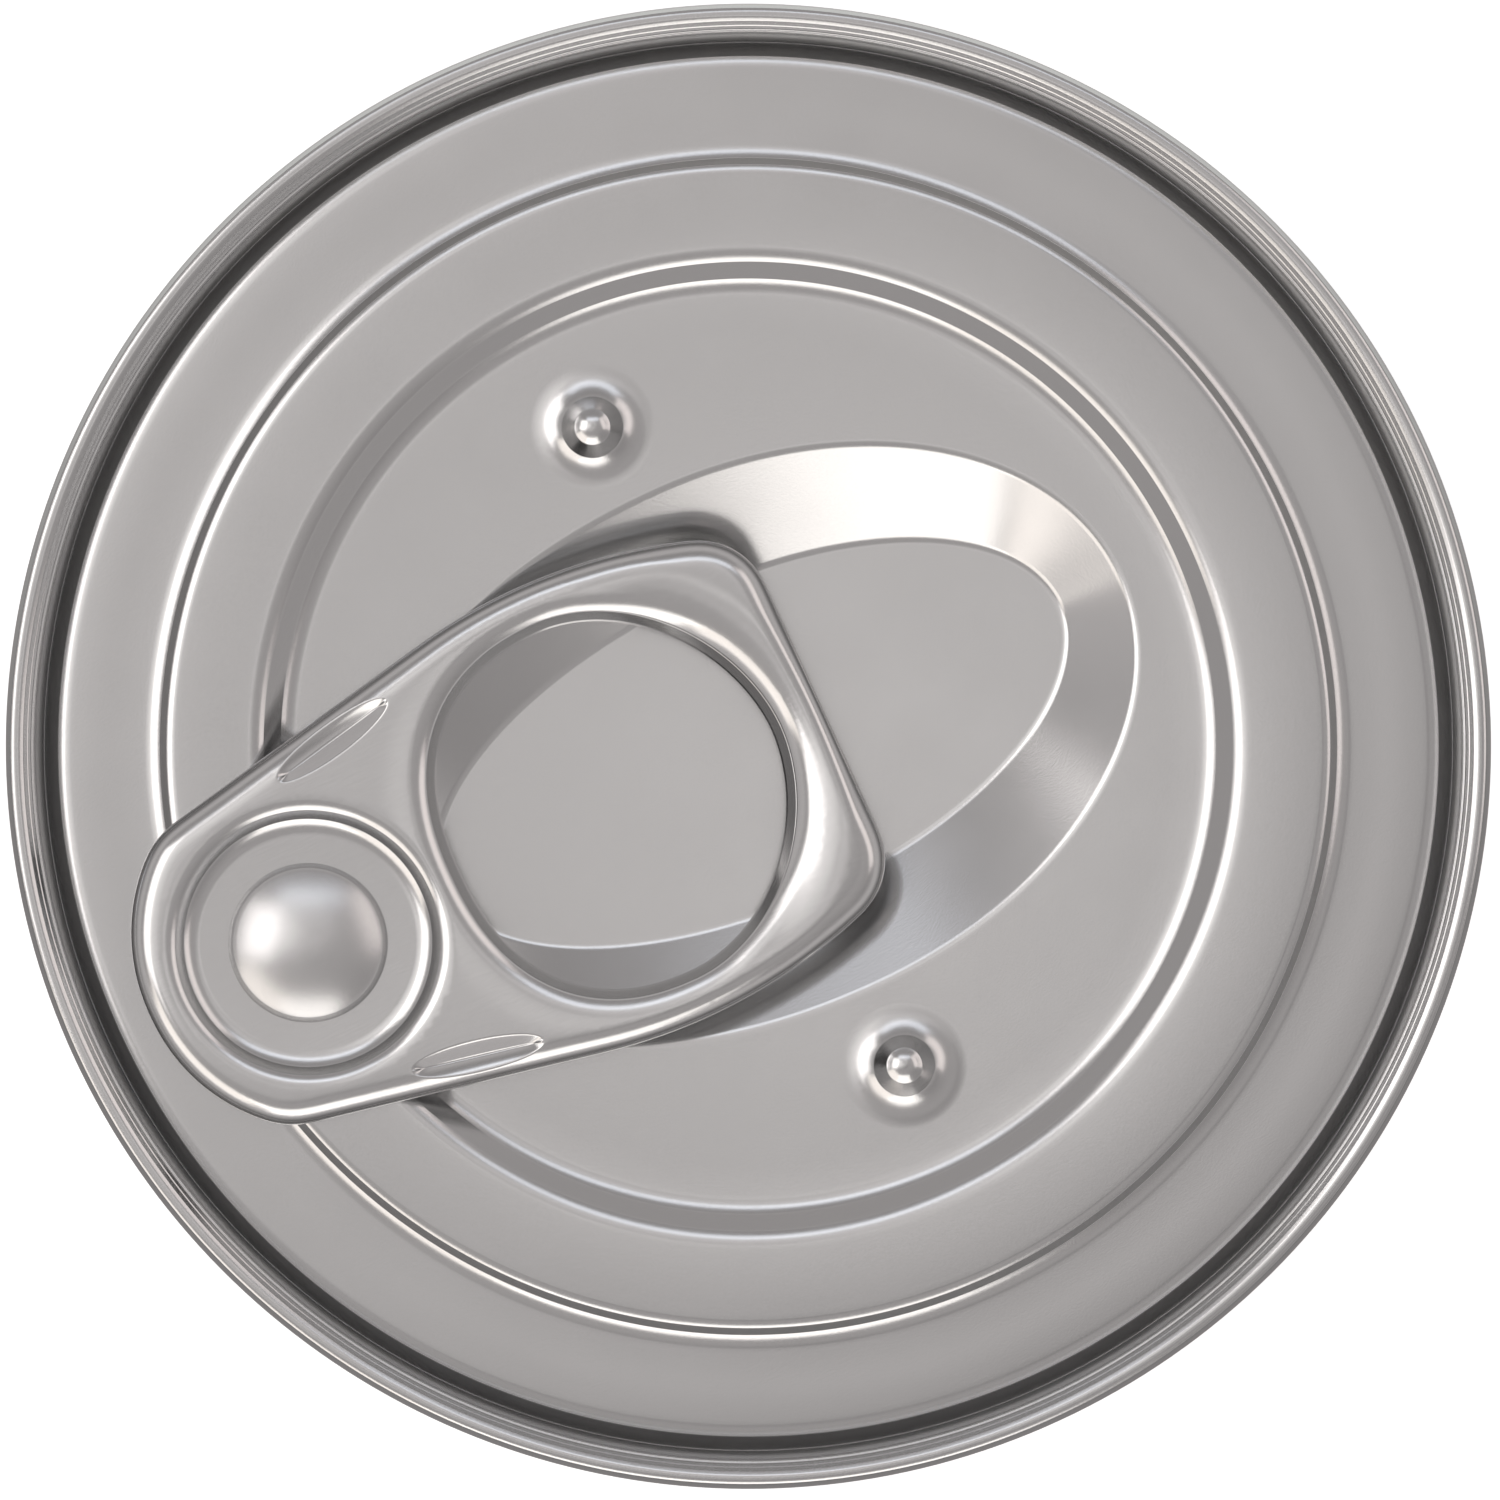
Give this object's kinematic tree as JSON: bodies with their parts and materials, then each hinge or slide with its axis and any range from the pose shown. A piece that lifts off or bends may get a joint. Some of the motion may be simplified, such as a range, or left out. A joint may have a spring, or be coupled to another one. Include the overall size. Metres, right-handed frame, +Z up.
{
  "type": "food can",
  "caption": "Shut cylindrical tinplate food can with rolled body beads, double seams and a ring-pull end with a finger well.",
  "frame": {"origin": "On the can's axis, at the plane the bottom seam stands on.", "axes": "+Z up along the can's axis; +X from the rivet along the pull tab towards its ring."},
  "size_m": [0.0762, 0.0762, 0.11],
  "materials": {
    "body_tinplate": "satin",
    "end_tinplate": "satin",
    "tab_steel": "satin"
  },
  "bodies": {
    "root": {"can_body": "body_tinplate", "bottom_end": "end_tinplate", "top_end": "end_tinplate", "pull_tab": "tab_steel"}
  },
  "joints": []
}
